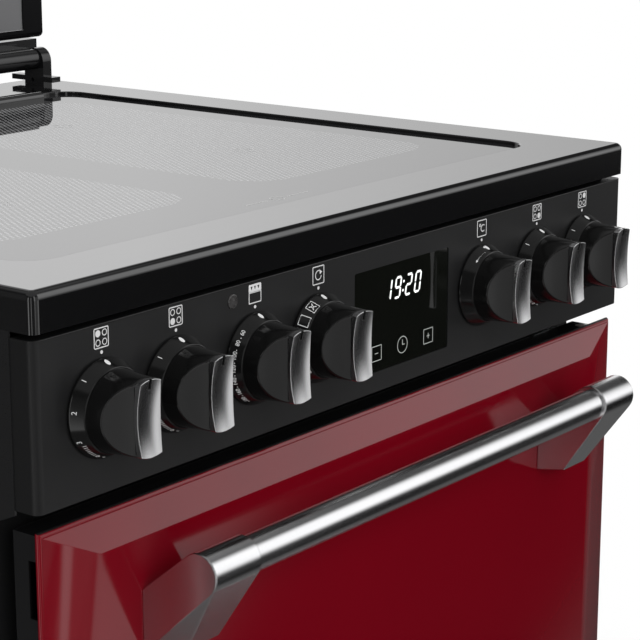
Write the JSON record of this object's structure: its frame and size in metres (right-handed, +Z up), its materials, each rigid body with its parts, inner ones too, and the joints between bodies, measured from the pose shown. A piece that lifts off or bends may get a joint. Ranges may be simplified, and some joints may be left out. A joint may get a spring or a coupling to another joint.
{
  "type": "induction range cooker",
  "caption": "Free-standing cooker with an induction hob, a raised fold-down lid, rotary controls with a clock, and side-hung oven doors with bar handles.",
  "frame": {"origin": "middle of the footprint, on the floor", "axes": "+X to the cooker's right as the user sees it, +Y to the back, +Z up"},
  "size_m": [0.6, 0.6622, 1.483],
  "materials": {
    "casing_enamel": "satin black",
    "hob_enamel": "gloss black",
    "hob_glass": "polished black",
    "panel_enamel": "satin black",
    "window_glass": "polished black",
    "red_enamel": "gloss red",
    "pan_enamel": "gloss black",
    "bright_steel": "brushed",
    "chrome": "polished",
    "satin_chrome": "satin",
    "knob_plastic": "gloss black",
    "oven_enamel": "gloss dark grey",
    "galvanised": "galvanised",
    "seal_rubber": "matt",
    "element_steel": "dull dark",
    "copper": "wound wire",
    "circuit_plastic": "matt green",
    "black_plastic": "matt black",
    "lens_plastic": "gloss dark",
    "lamp_glass": "clear",
    "lid_enamel": "gloss black",
    "lid_glass": "tinted"
  },
  "bodies": {
    "cooker": {"base_tray": "galvanised", "side_panel_left": "casing_enamel", "side_panel_right": "casing_enamel", "back_panel": "galvanised", "front_frame": "casing_enamel", "plinth": "casing_enamel", "levelling_feet": "black_plastic", "hob_surround": "hob_enamel", "hob_glass": "hob_glass", "hob_rear_trim": "hob_enamel", "hob_coil_tray": "galvanised", "induction_coils": "copper", "hob_power_board": "circuit_plastic", "control_fascia": "panel_enamel", "display_window": "window_glass", "timer_board": "black_plastic", "indicator_lamp": "lens_plastic", "rotary_switches": "black_plastic", "top_oven_liner": "oven_enamel", "main_oven_liner": "oven_enamel", "oven_door_seals": "seal_rubber", "grill_element": "element_steel", "fan_element": "element_steel", "fan_cover": "oven_enamel", "fan_motor": "galvanised", "oven_lamp": "lamp_glass", "shelf_runners": "bright_steel", "top_oven_shelf": "chrome", "main_oven_shelf": "chrome", "door_hinge_arms": "galvanised", "lid_hinge_brackets": "lid_enamel", "terminal_block": "black_plastic"},
    "fan": {"fan_blade": "bright_steel"},
    "lid": {"lid_frame": "lid_enamel", "lid_glass": "lid_glass", "lid_hinge_tube": "lid_enamel"},
    "top_door": {"top_door_skin": "red_enamel", "top_door_inner_pan": "pan_enamel", "top_door_handle_bar": "bright_steel", "top_door_handle_ends": "chrome", "top_door_hinge_pins": "element_steel"},
    "main_door": {"main_door_skin": "red_enamel", "main_door_inner_pan": "pan_enamel", "main_door_handle_bar": "bright_steel", "main_door_handle_ends": "chrome", "main_door_hinge_pins": "element_steel"},
    "knob_1": {"knob_1": "knob_plastic", "knob_1_grip": "satin_chrome"},
    "knob_2": {"knob_2": "knob_plastic", "knob_2_grip": "satin_chrome"},
    "knob_3": {"knob_3": "knob_plastic", "knob_3_grip": "satin_chrome"},
    "knob_4": {"knob_4": "knob_plastic", "knob_4_grip": "satin_chrome"},
    "knob_5": {"knob_5": "knob_plastic", "knob_5_grip": "satin_chrome"},
    "knob_6": {"knob_6": "knob_plastic", "knob_6_grip": "satin_chrome"},
    "knob_7": {"knob_7": "knob_plastic", "knob_7_grip": "satin_chrome"}
  },
  "joints": [
    {"name": "top_door_hinge", "type": "hinge", "parent": "cooker", "child": "top_door", "pos_m": [0.272, -0.25935, 0.62], "axis": [0, 0, 1], "range_deg": [0, 105]},
    {"name": "main_door_hinge", "type": "hinge", "parent": "cooker", "child": "main_door", "pos_m": [0.272, -0.25935, 0.28], "axis": [0, 0, 1], "range_deg": [0, 105]},
    {"name": "lid_hinge", "type": "hinge", "parent": "cooker", "child": "lid", "pos_m": [0, 0.29115, 0.9227], "axis": [1, 0, 0], "range_deg": [0, 90]},
    {"name": "fan_spin", "type": "hinge", "parent": "cooker", "child": "fan", "pos_m": [0, 0.18515, 0.2825], "axis": [0, 1, 0], "continuous": true},
    {"name": "knob_1_turn", "type": "hinge", "parent": "cooker", "child": "knob_1", "pos_m": [-0.249, -0.27485, 0.8278], "axis": [0, 1, 0], "range_deg": [0, 270]},
    {"name": "knob_2_turn", "type": "hinge", "parent": "cooker", "child": "knob_2", "pos_m": [-0.19, -0.27485, 0.8278], "axis": [0, 1, 0], "range_deg": [0, 270]},
    {"name": "knob_3_turn", "type": "hinge", "parent": "cooker", "child": "knob_3", "pos_m": [-0.1215, -0.27485, 0.8278], "axis": [0, 1, 0], "range_deg": [0, 270]},
    {"name": "knob_4_turn", "type": "hinge", "parent": "cooker", "child": "knob_4", "pos_m": [-0.062, -0.27485, 0.8278], "axis": [0, 1, 0], "continuous": true},
    {"name": "knob_5_turn", "type": "hinge", "parent": "cooker", "child": "knob_5", "pos_m": [0.115, -0.27485, 0.8278], "axis": [0, 1, 0], "range_deg": [0, 270]},
    {"name": "knob_6_turn", "type": "hinge", "parent": "cooker", "child": "knob_6", "pos_m": [0.184, -0.27485, 0.8278], "axis": [0, 1, 0], "range_deg": [0, 270]},
    {"name": "knob_7_turn", "type": "hinge", "parent": "cooker", "child": "knob_7", "pos_m": [0.2445, -0.27485, 0.8278], "axis": [0, 1, 0], "range_deg": [0, 270]}
  ]
}
